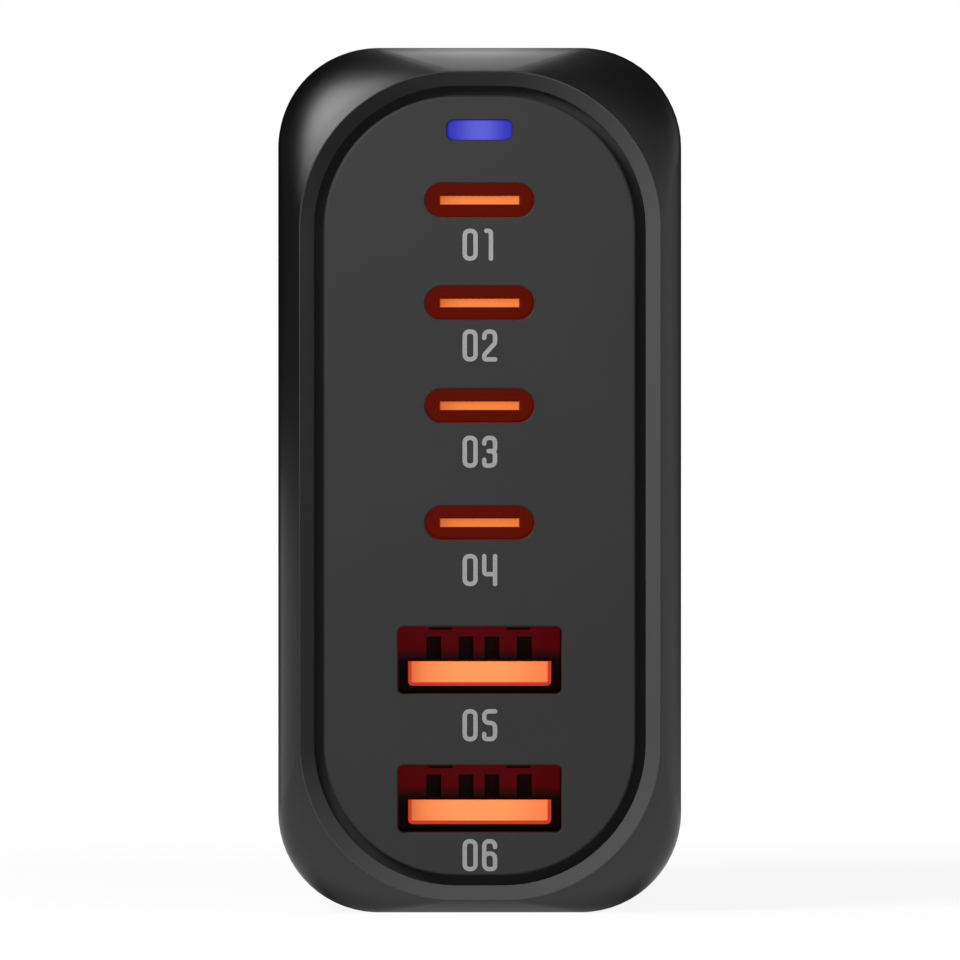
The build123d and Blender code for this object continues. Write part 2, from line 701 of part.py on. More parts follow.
nodes = {
    "housing": housing(),
    "port_plate": port_plate(),
    "rear_cover": rear_cover(),
    "light_pipe": light_pipe(),
    "status_led": status_led(),
    "port_board": port_board(),
    "main_board": main_board(),
    "board_header": board_header(),
    "inlet_body": inlet_body(),
    "inlet_pin_1": inlet_pin(-1),
    "inlet_pin_2": inlet_pin(1),
    "transformer_core_1": on_main_board(core_half(), power_y, middle_z),
    "transformer_core_2": on_main_board(
        Pos(0, 0, core_height) * Rot(180, 0, 0) * core_half(), power_y, middle_z
    ),
    "transformer_bobbin": on_main_board(transformer_bobbin(), power_y, middle_z),
    "transformer_winding": on_main_board(transformer_winding(), power_y, middle_z),
    "choke_core": on_main_board(choke_core(), filter_y, choke_z),
    "choke_winding": on_main_board(choke_winding(), filter_y, choke_z),
    "choke_base": on_main_board(choke_base(), filter_y, choke_z),
    "bridge_rectifier": on_main_board(bridge_rectifier(), filter_y, bridge_z),
    "x_capacitor": on_main_board(x_capacitor(), filter_y, x_cap_z),
    "y_capacitor": on_main_board(leaded_disc(y_cap_diameter, y_cap_thickness), filter_y, y_cap_z),
    "fuse": on_main_board(
        standing(Circle(fuse_diameter / 2), fuse_height), inlet_part_y, middle_z - inlet_part_offset
    ),
    "varistor": on_main_board(
        leaded_disc(varistor_diameter, varistor_thickness), inlet_part_y, middle_z + inlet_part_offset
    ),
    "switch_chip": on_main_board(
        standing(Rectangle(switch_chip_size, switch_chip_size), power_chip_height),
        output_y,
        middle_z - chip_offset,
    ),
    "rectifier_chip": on_main_board(
        standing(Rectangle(rectifier_chip_size, rectifier_chip_size), power_chip_height),
        output_y,
        middle_z + chip_offset,
    ),
    "thermal_pad": on_main_board(
        Pos(0, 0, core_height) * standing(Rectangle(core_depth, core_width), pad_thickness), power_y, middle_z
    ),
    "heat_spreader": wall_sheet(spreader_x, spreader_thickness, output_y, filter_y),
    "insulating_sheet": wall_sheet(-cavity_half_width, sheet_thickness, port_board_back_y, main_board_back_y),
}
for number, z in enumerate(usb_c_heights, start=1):
    nodes[f"usb_c_shell_{number}"] = Pos(0, 0, z) * usb_c_shell()
    nodes[f"usb_c_tongue_{number}"] = Pos(0, 0, z) * usb_c_tongue()
    nodes[f"usb_c_contacts_{number}"] = Pos(0, 0, z) * usb_c_contacts()
    nodes[f"buck_inductor_{number}"] = on_port_board(inductor(), inductor_offset, z)
for number, z in enumerate(usb_a_heights, start=1):
    nodes[f"usb_a_shell_{number}"] = Pos(0, 0, z) * usb_a_shell()
    nodes[f"usb_a_insulator_{number}"] = Pos(0, 0, z) * usb_a_insulator()
    nodes[f"usb_a_contacts_{number}"] = Pos(0, 0, z) * usb_a_contacts()
    chip = standing(Rectangle(protocol_chip_size, protocol_chip_size), protocol_chip_height)
    nodes[f"protocol_chip_{number}"] = on_port_board(chip, inductor_offset, z)
for number, side in enumerate((-1, 1), start=1):
    cap = can(bulk_cap_diameter, bulk_cap_height)
    nodes[f"bulk_capacitor_{number}"] = on_main_board(cap, power_y, middle_z + side * bulk_cap_offset)
for number, place in enumerate((-1, 0, 1), start=1):
    cap = can(output_cap_diameter, output_cap_height)
    nodes[f"output_capacitor_{number}"] = on_main_board(cap, output_y, middle_z + place * output_cap_pitch)

os.makedirs("parts", exist_ok=True)
for name, shape in nodes.items():
    export_step(shape, f"parts/{name}.step")
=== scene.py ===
import math
import bpy
import numpy as np
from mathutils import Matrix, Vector


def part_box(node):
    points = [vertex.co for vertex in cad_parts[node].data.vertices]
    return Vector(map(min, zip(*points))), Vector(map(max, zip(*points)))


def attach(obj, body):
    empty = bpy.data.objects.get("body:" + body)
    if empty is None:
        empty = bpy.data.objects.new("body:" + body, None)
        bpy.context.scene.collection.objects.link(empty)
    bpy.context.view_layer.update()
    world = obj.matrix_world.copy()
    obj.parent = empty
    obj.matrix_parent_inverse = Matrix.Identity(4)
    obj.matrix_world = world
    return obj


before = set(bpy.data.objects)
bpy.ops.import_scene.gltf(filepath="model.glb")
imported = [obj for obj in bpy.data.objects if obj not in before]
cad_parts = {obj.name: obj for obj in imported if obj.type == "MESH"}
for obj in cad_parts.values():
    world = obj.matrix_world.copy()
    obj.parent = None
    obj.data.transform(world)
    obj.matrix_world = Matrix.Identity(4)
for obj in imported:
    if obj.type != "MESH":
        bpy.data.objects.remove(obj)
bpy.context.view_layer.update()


# Main board and port board: routed panels of glass-epoxy laminate under green solder mask. The main
# board slides between ribs of the sleeve and the port board stands across it, behind the sockets.
# Copper tracks under the mask show as slightly paler lines, about 3 mm apart.

MM = 0.001


def linear(code):
    """Linear colour of an sRGB hex code.
    A channel c becomes c / 12.92 up to 0.04045, and ((c + 0.055) / 1.055) ** 2.4 above it."""
    srgb = np.array([int(code[i:i + 2], 16) for i in (1, 3, 5)]) / 255
    rgb = np.where(srgb <= 0.04045, srgb / 12.92, ((srgb + 0.055) / 1.055) ** 2.4)
    return (*rgb.tolist(), 1.0)


def add(owner, kind, sockets=None, **options):
    """Add one node to a material or world.
    The options are its own settings, and the sockets take values or the outputs that feed them."""
    node = owner.node_tree.nodes.new(kind)
    for option, value in options.items():
        setattr(node, option, value)
    for socket, value in (sockets or {}).items():
        if isinstance(value, bpy.types.NodeSocket):
            owner.node_tree.links.new(value, node.inputs[socket])
        else:
            node.inputs[socket].default_value = value
    return node


def blank_finish(name):
    """A named material with nothing in its node tree yet."""
    finish = bpy.data.materials.new(name)
    finish.use_nodes = True
    finish.node_tree.nodes.clear()
    return finish


def dress(finish, *nodes):
    """Give the finish to the solids of these names."""
    for name in nodes:
        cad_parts[name].material_slots[0].material = finish


track_spacing = 3.0 * MM
track_side = (0.08, 0.14)  # where the side of a track fades out, in shares of the spacing
copper_thickness = 0.035 * MM
solder_mask = blank_finish("solder_mask_on_glass_epoxy")
spot = add(solder_mask, "ShaderNodeTexCoord").outputs["Object"]
tracks = add(solder_mask, "ShaderNodeTexVoronoi", {"Vector": spot, "Scale": 1 / track_spacing},
             feature="DISTANCE_TO_EDGE", distance="MANHATTAN")
track = add(solder_mask, "ShaderNodeMapRange",
            {"Value": tracks.outputs["Distance"], "From Min": track_side[0],
             "From Max": track_side[1], "To Min": 1.0, "To Max": 0.0})
mask_colour = add(solder_mask, "ShaderNodeMixRGB",
                  {"Fac": track.outputs["Result"],
                   "Color1": linear("#0d3f27"), "Color2": linear("#1b6b43")})
mask_relief = add(solder_mask, "ShaderNodeBump",
                  {"Height": track.outputs["Result"], "Strength": 0.4,
                   "Distance": copper_thickness})
mask_coat = add(solder_mask, "ShaderNodeBsdfPrincipled",
                {"Base Color": mask_colour.outputs["Color"], "Roughness": 0.32, "IOR": 1.52,
                 "Normal": mask_relief.outputs["Normal"]})
add(solder_mask, "ShaderNodeOutputMaterial", {"Surface": mask_coat.outputs["BSDF"]})
dress(solder_mask, "main_board", "port_board")


# Parts on the boards: transformer, mains choke, chips, boxed and dipped capacitors, fuse, pads and
# films. They are cast, moulded or fired stock, soldered by their leads or clamped against a wall,
# and each shows a soft fleck of its own colour and a fine grain.

def cast_stock(name, colour, fleck, roughness, ior, grain_mm):
    """Cast or moulded stock: a soft noise of that grain mixes the colour with its fleck.
    The same noise stands as a bump, a tenth of the grain high."""
    grain_size = grain_mm * MM
    stock = blank_finish(name)
    spot = add(stock, "ShaderNodeTexCoord").outputs["Object"]
    grain = add(stock, "ShaderNodeTexNoise",
                {"Vector": spot, "Scale": 1 / grain_size, "Detail": 3.0})
    shade = add(stock, "ShaderNodeMixRGB",
                {"Fac": grain.outputs["Fac"], "Color1": linear(colour), "Color2": linear(fleck)})
    relief = add(stock, "ShaderNodeBump",
                 {"Height": grain.outputs["Fac"], "Strength": 0.25, "Distance": grain_size / 10})
    body = add(stock, "ShaderNodeBsdfPrincipled",
               {"Base Color": shade.outputs["Color"], "Roughness": roughness, "IOR": ior,
                "Normal": relief.outputs["Normal"]})
    add(stock, "ShaderNodeOutputMaterial", {"Surface": body.outputs["BSDF"]})
    return stock


dress(cast_stock("fired_ferrite", "#29292b", "#3a3a3c", roughness=0.65, ior=1.9, grain_mm=0.4),
      "transformer_core_1", "transformer_core_2", "choke_core",
      *[f"buck_inductor_{n}" for n in range(1, 5)])
dress(cast_stock("moulded_epoxy", "#171718", "#242425", roughness=0.6, ior=1.55, grain_mm=0.2),
      "switch_chip", "rectifier_chip", "bridge_rectifier", "protocol_chip_1", "protocol_chip_2")
black_moulding = cast_stock("glass_filled_polyester_black", "#0e0e0f", "#1a1a1b",
                            roughness=0.45, ior=1.57, grain_mm=0.3)
dress(black_moulding, "transformer_bobbin", "choke_base", "board_header")
dress(cast_stock("polypropylene_capacitor_box", "#c99a2e", "#d8ad45",
                 roughness=0.35, ior=1.49, grain_mm=0.8), "x_capacitor")
dress(cast_stock("dipped_ceramic_lacquer", "#1d4f9e", "#2a61b4",
                 roughness=0.25, ior=1.5, grain_mm=1.2), "y_capacitor", "varistor")
dress(cast_stock("phenolic_fuse_case", "#53301d", "#634028",
                 roughness=0.5, ior=1.6, grain_mm=0.5), "fuse")
dress(cast_stock("polyester_shrink_sleeve", "#14161d", "#1d2029",
                 roughness=0.22, ior=1.57, grain_mm=2.0), "bulk_capacitor_1", "bulk_capacitor_2")
dress(cast_stock("silicone_gap_pad", "#8b949b", "#9aa3aa",
                 roughness=0.75, ior=1.41, grain_mm=0.6), "thermal_pad")
dress(cast_stock("polyester_film", "#d7d5ca", "#e2e0d6",
                 roughness=0.4, ior=1.64, grain_mm=3.0), "insulating_sheet")
dress(cast_stock("clear_epoxy_lens", "#c9d3ee", "#d9e1f4",
                 roughness=0.15, ior=1.5, grain_mm=0.4), "status_led")


# Windings and bare aluminium: taped coil on the transformer, enamelled copper wire on the choke,
# drawn capacitor cans and the rolled heat spreader. Turns, tape edges and rolling lines run one
# way on each of them.

wave_length = 0.1 * math.pi  # of a wave texture whose scale is 1


def lined_stock(name, colour, line, roughness, metallic, axis, spacing_mm):
    """Stock with parallel lines: a wave of that spacing along the axis mixes two colours.
    The same wave stands as a bump, an eighth of the spacing high."""
    spacing = spacing_mm * MM
    stock = blank_finish(name)
    spot = add(stock, "ShaderNodeTexCoord").outputs["Object"]
    lines = add(stock, "ShaderNodeTexWave",
                {"Vector": spot, "Scale": wave_length / spacing, "Distortion": 0.6, "Detail": 2.0},
                bands_direction=axis)
    shade = add(stock, "ShaderNodeMixRGB",
                {"Fac": lines.outputs["Fac"], "Color1": linear(colour), "Color2": linear(line)})
    relief = add(stock, "ShaderNodeBump",
                 {"Height": lines.outputs["Fac"], "Strength": 0.3, "Distance": spacing / 8})
    body = add(stock, "ShaderNodeBsdfPrincipled",
               {"Base Color": shade.outputs["Color"], "Roughness": roughness, "Metallic": metallic,
                "Normal": relief.outputs["Normal"]})
    add(stock, "ShaderNodeOutputMaterial", {"Surface": body.outputs["BSDF"]})
    return stock


dress(lined_stock("polyester_winding_tape", "#d9a21f", "#c48d12",
                  roughness=0.35, metallic=0.0, axis="X", spacing_mm=3.0), "transformer_winding")
dress(lined_stock("enamelled_copper_wire", "#b4622f", "#7d3b18",
                  roughness=0.3, metallic=1.0, axis="Z", spacing_mm=0.8), "choke_winding")
dress(lined_stock("rolled_aluminium", "#c6c8ca", "#b9bbbd",
                  roughness=0.35, metallic=1.0, axis="Z", spacing_mm=0.25),
      "heat_spreader", *[f"output_capacitor_{n}" for n in range(1, 4)])


# Socket shells: thin steel drawn into a round-ended tube for USB-C and folded into a box for USB-A,
# soldered to the port board. Their deep red is a painted reflection of the tongues' orange light,
# and the round tubes carry a little painted glow. Drawing leaves fine lines along the depth.

draw_line = 0.12 * MM  # coarser than real drawing lines, so that they show
draw_stretch = 0.03


def painted_bounce_red(name, colour, line, painted_glow):
    """Satin finish whose two reds are a painted reflection of the tongue's orange light.
    A noise stretched along the depth mixes the two reds and varies the gloss. The same two reds
    give an even painted glow of that strength."""
    bounce_finish = blank_finish(name)
    spot = add(bounce_finish, "ShaderNodeTexCoord").outputs["Object"]
    stretched = add(bounce_finish, "ShaderNodeMapping",
                    {"Vector": spot, "Scale": (1.0, draw_stretch, 1.0)})
    draw_lines = add(bounce_finish, "ShaderNodeTexNoise",
                     {"Vector": stretched.outputs["Vector"], "Scale": 1 / draw_line, "Detail": 2.0})
    gloss = add(bounce_finish, "ShaderNodeMapRange",
                {"Value": draw_lines.outputs["Fac"], "To Min": 0.4, "To Max": 0.55})
    tone = add(bounce_finish, "ShaderNodeMixRGB",
               {"Fac": draw_lines.outputs["Fac"],
                "Color1": linear(colour), "Color2": linear(line)})
    face = add(bounce_finish, "ShaderNodeBsdfPrincipled",
               {"Base Color": tone.outputs["Color"], "Roughness": gloss.outputs["Result"],
                "IOR": 1.5, "Specular IOR Level": 0.15,
                "Emission Color": tone.outputs["Color"], "Emission Strength": painted_glow})
    add(bounce_finish, "ShaderNodeOutputMaterial", {"Surface": face.outputs["BSDF"]})
    return bounce_finish


# Both reds paint the tongues' reflected orange light; only the USB-C tubes also get a painted glow.
dress(painted_bounce_red("steel_with_painted_red_bounce_and_glow", "#7a1608", "#8c1d0b", painted_glow=0.2),
      *[f"usb_c_shell_{n}" for n in range(1, 5)])
dress(painted_bounce_red("steel_with_painted_dark_red_bounce", "#3a0a08", "#460d0a", painted_glow=0.0),
      "usb_a_shell_1", "usb_a_shell_2")


# Socket insulators: orange polymer, moulded round the contacts and pressed into the back of each
# shell. The tongue carries a painted glow, palest in the middle of its tip; its bevel is a red of
# painted shade, and behind it painted shade turns the glow dark red as far as the back wall, with a
# painted shadow below the middle of each USB-A shell. The satin skin shows faint flow streaks along
# the tongue.

flow_streak = 0.5 * MM
flow_stretch = 0.3
flow_depth = 0.02 * MM
pale_share = 0.3  # of the tongue's half width, where the tip starts to deepen towards its ends
tip_edge = (0.02 * MM, 0.06 * MM)  # behind the tip, where its flat face ends
wall_edge = (0.05 * MM, 0.3 * MM)  # behind the front of the back wall, where the painted glow ends
painted_shadow_edge = (-0.1 * MM, 0.8 * MM)  # from the middle of a shell up, where the painted shadow ends
# Colour of the painted shadow below the middle of each USB-A shell.
painted_shadow_code = "#140303"
painted_tongue_glow = 0.48


def orange_polymer(name, node, bevel, base_length, middle_code, end_code, shaded_bevel_code, recess_shade_colour,
                   shells=()):
    """Polymer whose colour and painted glow change from the tip of the tongue to the back wall.
    The tip is pale in its middle and deeper at its ends, its bevel is one red of painted shade, and
    the rest is dark red painted shade. In a row of two shells, which repeats at their pitch, what
    lies below the middle of each shell gets a painted shadow. The painted glow is even along the
    tongue and ends in the back wall."""
    tip, back, half_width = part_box(node)[0].y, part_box(node)[1].y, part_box(node)[1].x
    wall = back - base_length
    polymer = blank_finish(name)
    spot = add(polymer, "ShaderNodeTexCoord").outputs["Object"]
    place = add(polymer, "ShaderNodeSeparateXYZ", {"Vector": spot}).outputs
    from_middle = add(polymer, "ShaderNodeMath", {0: place["X"]}, operation="ABSOLUTE")
    to_end = add(polymer, "ShaderNodeMapRange",
                 {"Value": from_middle.outputs["Value"],
                  "From Min": pale_share * half_width, "From Max": half_width})
    past_tip = add(polymer, "ShaderNodeMapRange",
                   {"Value": place["Y"],
                    "From Min": tip + tip_edge[0], "From Max": tip + tip_edge[1]})
    past_bevel = add(polymer, "ShaderNodeMapRange",
                     {"Value": place["Y"], "From Min": tip + bevel, "From Max": tip + 2 * bevel})
    # The emission is a painted glow, even along the tongue, which fades out in the back wall.
    painted_glow = add(polymer, "ShaderNodeMapRange",
               {"Value": place["Y"], "From Min": wall + wall_edge[0],
                "From Max": wall + wall_edge[1], "To Min": painted_tongue_glow, "To Max": 0.0})
    tip_tone = add(polymer, "ShaderNodeMixRGB",
                   {"Fac": to_end.outputs["Result"],
                    "Color1": linear(middle_code), "Color2": linear(end_code)})
    front_tone = add(polymer, "ShaderNodeMixRGB",
                     {"Fac": past_tip.outputs["Result"],
                      "Color1": tip_tone.outputs["Color"], "Color2": linear(shaded_bevel_code)})
    # Behind the bevel the dark red is painted shade, and below the middle of a shell a painted
    # shadow.
    recess_shade = linear(recess_shade_colour)
    if shells:
        upper, lower = [sum(corner.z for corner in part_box(shell)) / 2 for shell in shells]
        half_pitch = (upper - lower) / 2
        rise = add(polymer, "ShaderNodeMath",
                   {0: place["Z"], 1: lower + half_pitch, 2: lower - half_pitch}, operation="WRAP")
        above = add(polymer, "ShaderNodeMapRange",
                    {"Value": rise.outputs["Value"],
                     "From Min": lower + painted_shadow_edge[0], "From Max": lower + painted_shadow_edge[1]})
        shaded = add(polymer, "ShaderNodeMixRGB",
                     {"Fac": above.outputs["Result"],
                      "Color1": linear(painted_shadow_code), "Color2": recess_shade})
        recess_shade = shaded.outputs["Color"]
    tone = add(polymer, "ShaderNodeMixRGB",
               {"Fac": past_bevel.outputs["Result"],
                "Color1": front_tone.outputs["Color"], "Color2": recess_shade})
    flow = add(polymer, "ShaderNodeMapping", {"Vector": spot, "Scale": (1.0, flow_stretch, 1.0)})
    streaks = add(polymer, "ShaderNodeTexNoise",
                  {"Vector": flow.outputs["Vector"], "Scale": 1 / flow_streak, "Detail": 4.0})
    relief = add(polymer, "ShaderNodeBump",
                 {"Height": streaks.outputs["Fac"], "Strength": 0.15, "Distance": flow_depth})
    skin = add(polymer, "ShaderNodeBsdfPrincipled",
               {"Base Color": tone.outputs["Color"], "Roughness": 0.45, "IOR": 1.6,
                "Specular IOR Level": 0.15, "Normal": relief.outputs["Normal"],
                "Emission Color": tone.outputs["Color"],
                "Emission Strength": painted_glow.outputs["Result"]})
    add(polymer, "ShaderNodeOutputMaterial", {"Surface": skin.outputs["BSDF"]})
    return polymer


# The bevel and inside colours given here are painted shade.
dress(orange_polymer("orange_polymer_of_usb_c", "usb_c_tongue_1",
                     bevel=0.07 * MM, base_length=3.6 * MM, middle_code="#ff8c46",
                     end_code="#ff8240", shaded_bevel_code="#a02410", recess_shade_colour="#74190b"),
      *[f"usb_c_tongue_{n}" for n in range(1, 5)])
dress(orange_polymer("orange_polymer_of_usb_a", "usb_a_insulator_1",
                     bevel=0.32 * MM, base_length=2.2 * MM, middle_code="#ff9a5c",
                     end_code="#ff7846", shaded_bevel_code="#ff5030", recess_shade_colour="#660008",
                     shells=("usb_a_shell_1", "usb_a_shell_2")),
      "usb_a_insulator_1", "usb_a_insulator_2")


# Contacts: strips of copper alloy with a flash of gold, laid on the tongues and run into the slots.
# The plating is bright, and faint rubbing marks of about 0.2 mm vary its gloss.

rub = 0.2 * MM  # coarser than real rubbing marks, so that they show
gold_flash = blank_finish("gold_flashed_copper_alloy")
spot = add(gold_flash, "ShaderNodeTexCoord").outputs["Object"]
rubbing = add(gold_flash, "ShaderNodeTexNoise", {"Vector": spot, "Scale": 1 / rub, "Detail": 2.0})
gold_gloss = add(gold_flash, "ShaderNodeMapRange",
                 {"Value": rubbing.outputs["Fac"], "To Min": 0.2, "To Max": 0.4})
gold_face = add(gold_flash, "ShaderNodeBsdfPrincipled",
                {"Base Color": linear("#d6a350"), "Metallic": 1.0,
                 "Roughness": gold_gloss.outputs["Result"]})
add(gold_flash, "ShaderNodeOutputMaterial", {"Surface": gold_face.outputs["BSDF"]})
dress(gold_flash, *[f"usb_c_contacts_{n}" for n in range(1, 5)],
      "usb_a_contacts_1", "usb_a_contacts_2")


# Light pipe: clear polycarbonate snapped in behind the plate, with the lamp's blue in it. The lamp
# stands behind its middle, so the window is palest there and deepest at its two ends.

lamp_half = 0.2 * MM
window_half = 2.4 * MM
lit_polycarbonate = blank_finish("lit_polycarbonate")
spot = add(lit_polycarbonate, "ShaderNodeTexCoord").outputs["Object"]
across = add(lit_polycarbonate, "ShaderNodeSeparateXYZ", {"Vector": spot})
from_middle = add(lit_polycarbonate, "ShaderNodeMath", {0: across.outputs["X"]},
                  operation="ABSOLUTE")
fade = add(lit_polycarbonate, "ShaderNodeMapRange",
           {"Value": from_middle.outputs["Value"], "From Min": lamp_half, "From Max": window_half},
           interpolation_type="SMOOTHSTEP")
blue = add(lit_polycarbonate, "ShaderNodeMixRGB",
           {"Fac": fade.outputs["Result"],
            "Color1": linear("#565bd0"), "Color2": linear("#2a28b2")})
pipe_face = add(lit_polycarbonate, "ShaderNodeBsdfPrincipled",
                {"Base Color": linear("#10103a"), "Roughness": 0.45, "IOR": 1.58,
                 "Specular IOR Level": 0.2, "Emission Color": blue.outputs["Color"],
                 "Emission Strength": 1.0})
add(lit_polycarbonate, "ShaderNodeOutputMaterial", {"Surface": pipe_face.outputs["BSDF"]})
dress(lit_polycarbonate, "light_pipe")


# Port plate: dark grey polycarbonate blend, moulded against a spark-eroded steel face, which gives
# a dry matte skin with a grain of about 0.15 mm. It drops in behind the sleeve's lip.

spark_grain = 0.15 * MM
spark_depth = 0.02 * MM
cloud_size = 9.0 * MM
matte_plate = blank_finish("spark_textured_polycarbonate")
spot = add(matte_plate, "ShaderNodeTexCoord").outputs["Object"]
sparks = add(matte_plate, "ShaderNodeTexNoise",
             {"Vector": spot, "Scale": 1 / spark_grain, "Detail": 2.0})
clouds = add(matte_plate, "ShaderNodeTexNoise",
             {"Vector": spot, "Scale": 1 / cloud_size, "Detail": 2.0})
plate_tone = add(matte_plate, "ShaderNodeMixRGB",
                 {"Fac": clouds.outputs["Fac"],
                  "Color1": linear("#313131"), "Color2": linear("#363636")})
spark_relief = add(matte_plate, "ShaderNodeBump",
                   {"Height": sparks.outputs["Fac"], "Strength": 0.35, "Distance": spark_depth})
plate_skin = add(matte_plate, "ShaderNodeBsdfPrincipled",
                 {"Base Color": plate_tone.outputs["Color"], "Roughness": 0.7, "IOR": 1.5,
                  "Normal": spark_relief.outputs["Normal"]})
add(matte_plate, "ShaderNodeOutputMaterial", {"Surface": plate_skin.outputs["BSDF"]})
dress(matte_plate, "port_plate")


# Port numbers: plain figures under the six sockets, pad-printed on the plate in pale grey ink. Each
# stroke is an even round-ended line 0.34 mm wide, and the ink stands about 0.02 mm proud. A second
# stroke of a figure is printed a touch thicker, so the two faces never share one plane.

figure_height = 2.5 * MM
figure_pitch = 1.5 * MM
stroke_width = 0.34 * MM
ink_depth = 0.02 * MM
overprint = 0.002 * MM
pinhole = 0.12 * MM  # coarser than real pinholes in the ink, so that they show

# Each stroke of a figure is its corners and the radius that rounds them, in shares of its height.
half = 0.166
tall = 0.856
bar = 0.45
tight = 0.09
figures = {
    "0": [([(half, 0.4), (half, tall), (-half, tall), (-half, 0), (half, 0), (half, 0.4)], half)],
    "1": [([(-0.1, tall), (0.04, tall), (0.04, 0)], tight)],
    "2": [([(-half, 0.66), (-half, tall), (half, tall), (half, 0.5), (-half, 0.14), (-half, 0),
            (half, 0)], half)],
    "3": [([(-half, 0.68), (-half, tall), (half, tall), (half, bar), (-0.03, bar)], half),
          ([(-0.03, bar), (half, bar), (half, 0), (-half, 0), (-half, 0.18)], half)],
    "4": [([(-half, tall), (-half, 0.3), (half, 0.3)], tight), ([(half, tall), (half, 0)], tight)],
    "5": [([(half, tall), (-half, tall), (-half, 0.5), (half, 0.5), (half, 0), (-half, 0),
            (-half, 0.16)], half)],
    "6": [([(half, 0.68), (half, tall), (-half, tall), (-half, 0.24)], half),
          ([(half, 0.24), (half, 0.48), (-half, 0.48), (-half, 0), (half, 0), (half, 0.24)], half)],
}


def rounded_line(corners, radius, steps=10, doubled=1e-6):
    """Points along a line through the corners, each of them rounded.
    A corner gives way to the parabola (1 - s)^2 start + 2 s (1 - s) corner + s^2 end, which touches
    both runs. Its start and end lie as far from the corner as an arc of the radius would touch, but
    no further than the middle of a run, or the first point. Doubled points are dropped."""
    corners = np.array(corners, float)
    runs = np.diff(corners, axis=0)
    lengths = np.linalg.norm(runs, axis=1)
    headings = runs / lengths[:, None]
    middle, to_before, to_after = corners[1:-1], -headings[:-1], headings[1:]
    opening = np.arccos(np.clip((to_before * to_after).sum(axis=1), -1, 1))
    before, after = lengths[:-1] / 2, lengths[1:] / 2
    before[:1] *= 2
    reach = np.minimum(radius / np.tan(opening / 2), np.minimum(before, after))[:, None]
    start, end = middle + reach * to_before, middle + reach * to_after
    s = np.linspace(0, 1, steps)[:, None]
    curves = ((1 - s) ** 2 * start[:, None] + 2 * s * (1 - s) * middle[:, None]
              + s ** 2 * end[:, None])
    line = np.concatenate([corners[:1], curves.reshape(-1, 2), corners[-1:]])
    keep = np.r_[True, np.linalg.norm(np.diff(line, axis=0), axis=1) > doubled]
    return line[keep]


def ink_stroke(line, width, height, cap_steps=6):
    """Flat bar along a line: its four edges stand at half the width to each side of it.
    At the two ends the width shrinks as a half circle. A line that comes back to its start keeps
    its full width there and closes on itself."""
    ahead = np.gradient(line, axis=0)
    ahead /= np.linalg.norm(ahead, axis=1)[:, None]
    closed = np.allclose(line[0], line[-1])
    if closed:
        cap_steps = 0
    turn = (np.arange(cap_steps) + 0.5) / max(cap_steps, 1) * math.pi / 2
    out, slim = np.cos(turn)[:, None] * width / 2, np.sin(turn) * width / 2
    centre = np.concatenate([line[:1] - ahead[:1] * out, line,
                             line[-1:] + ahead[-1:] * out[::-1]])
    along = np.concatenate([np.repeat(ahead[:1], cap_steps, 0), ahead,
                            np.repeat(ahead[-1:], cap_steps, 0)])
    reach = np.concatenate([slim, np.full(len(line), width / 2), slim[::-1]])[:, None]
    aside = np.stack([-along[:, 1], along[:, 0]], axis=1) * reach
    left, right = centre + aside, centre - aside
    rows = len(centre)
    points = np.zeros((rows, 4, 3))
    points[:, 0, ::2] = points[:, 1, ::2] = left
    points[:, 2, ::2] = points[:, 3, ::2] = right
    points[:, 1:3, 1] = -height
    row, edge = np.meshgrid(np.arange(rows - 1) * 4, np.arange(4), indexing="ij")
    following = (edge + 1) % 4
    faces = np.stack([row + edge, row + following, row + 4 + following, row + 4 + edge], -1)
    ends = np.array([[3, 2, 1, 0], (rows - 1) * 4 + np.arange(4)])
    if closed:
        faces, ends = faces % ((rows - 1) * 4), ends[:0]
        points = points[:-1]
    return points.reshape(-1, 3), np.concatenate([faces.reshape(-1, 4), ends])


pad_ink = blank_finish("pad_printed_ink")
spot = add(pad_ink, "ShaderNodeTexCoord").outputs["Object"]
pinholes = add(pad_ink, "ShaderNodeTexNoise",
               {"Vector": spot, "Scale": 1 / pinhole, "Detail": 3.0})
ink_tone = add(pad_ink, "ShaderNodeMixRGB",
               {"Fac": pinholes.outputs["Fac"],
                "Color1": linear("#b6b6b6"), "Color2": linear("#d4d4d4")})
ink_face = add(pad_ink, "ShaderNodeBsdfPrincipled",
               {"Base Color": ink_tone.outputs["Color"], "Roughness": 0.55, "IOR": 1.5})
add(pad_ink, "ShaderNodeOutputMaterial", {"Surface": ink_face.outputs["BSDF"]})

plate_face_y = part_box("port_plate")[0].y
sockets = [f"usb_c_shell_{n}" for n in range(1, 5)] + ["usb_a_shell_1", "usb_a_shell_2"]
drops = np.array([3.4, 3.24, 3.51, 3.6, 4.98, 4.32]) * MM  # from a socket's middle to its figures'
for number, (socket, drop) in enumerate(zip(sockets, drops), start=1):
    low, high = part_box(socket)
    foot_z = (low.z + high.z) / 2 - drop - tall * figure_height / 2
    points, faces, count = [], [], 0
    for place, figure in zip((-figure_pitch / 2, figure_pitch / 2), f"{number:02d}"):
        for layer, (corners, radius) in enumerate(figures[figure]):
            line = rounded_line(corners, radius) * figure_height + np.array([place, foot_z])
            stroke, bars = ink_stroke(line, stroke_width, ink_depth + layer * overprint)
            points.append(stroke + np.array([0, plate_face_y, 0]))
            faces.append(bars + count)
            count += len(stroke)
    mesh = bpy.data.meshes.new(f"port_number_{number}")
    mesh.from_pydata(np.concatenate(points).tolist(), [], np.concatenate(faces).tolist())
    mesh.materials.append(pad_ink)
    figure_piece = bpy.data.objects.new(f"port_number_{number}", mesh)
    bpy.context.scene.collection.objects.link(figure_piece)
    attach(figure_piece, "root")


# Sleeve and rear cover: black ABS blend, moulded in polished steel and welded together at the
# parting line. The skin has a soft gloss with a faint ripple. The chamfer round the plate is left
# satin and paler: it is found as what faces the sleeve's axis and lies before the shadow groove.

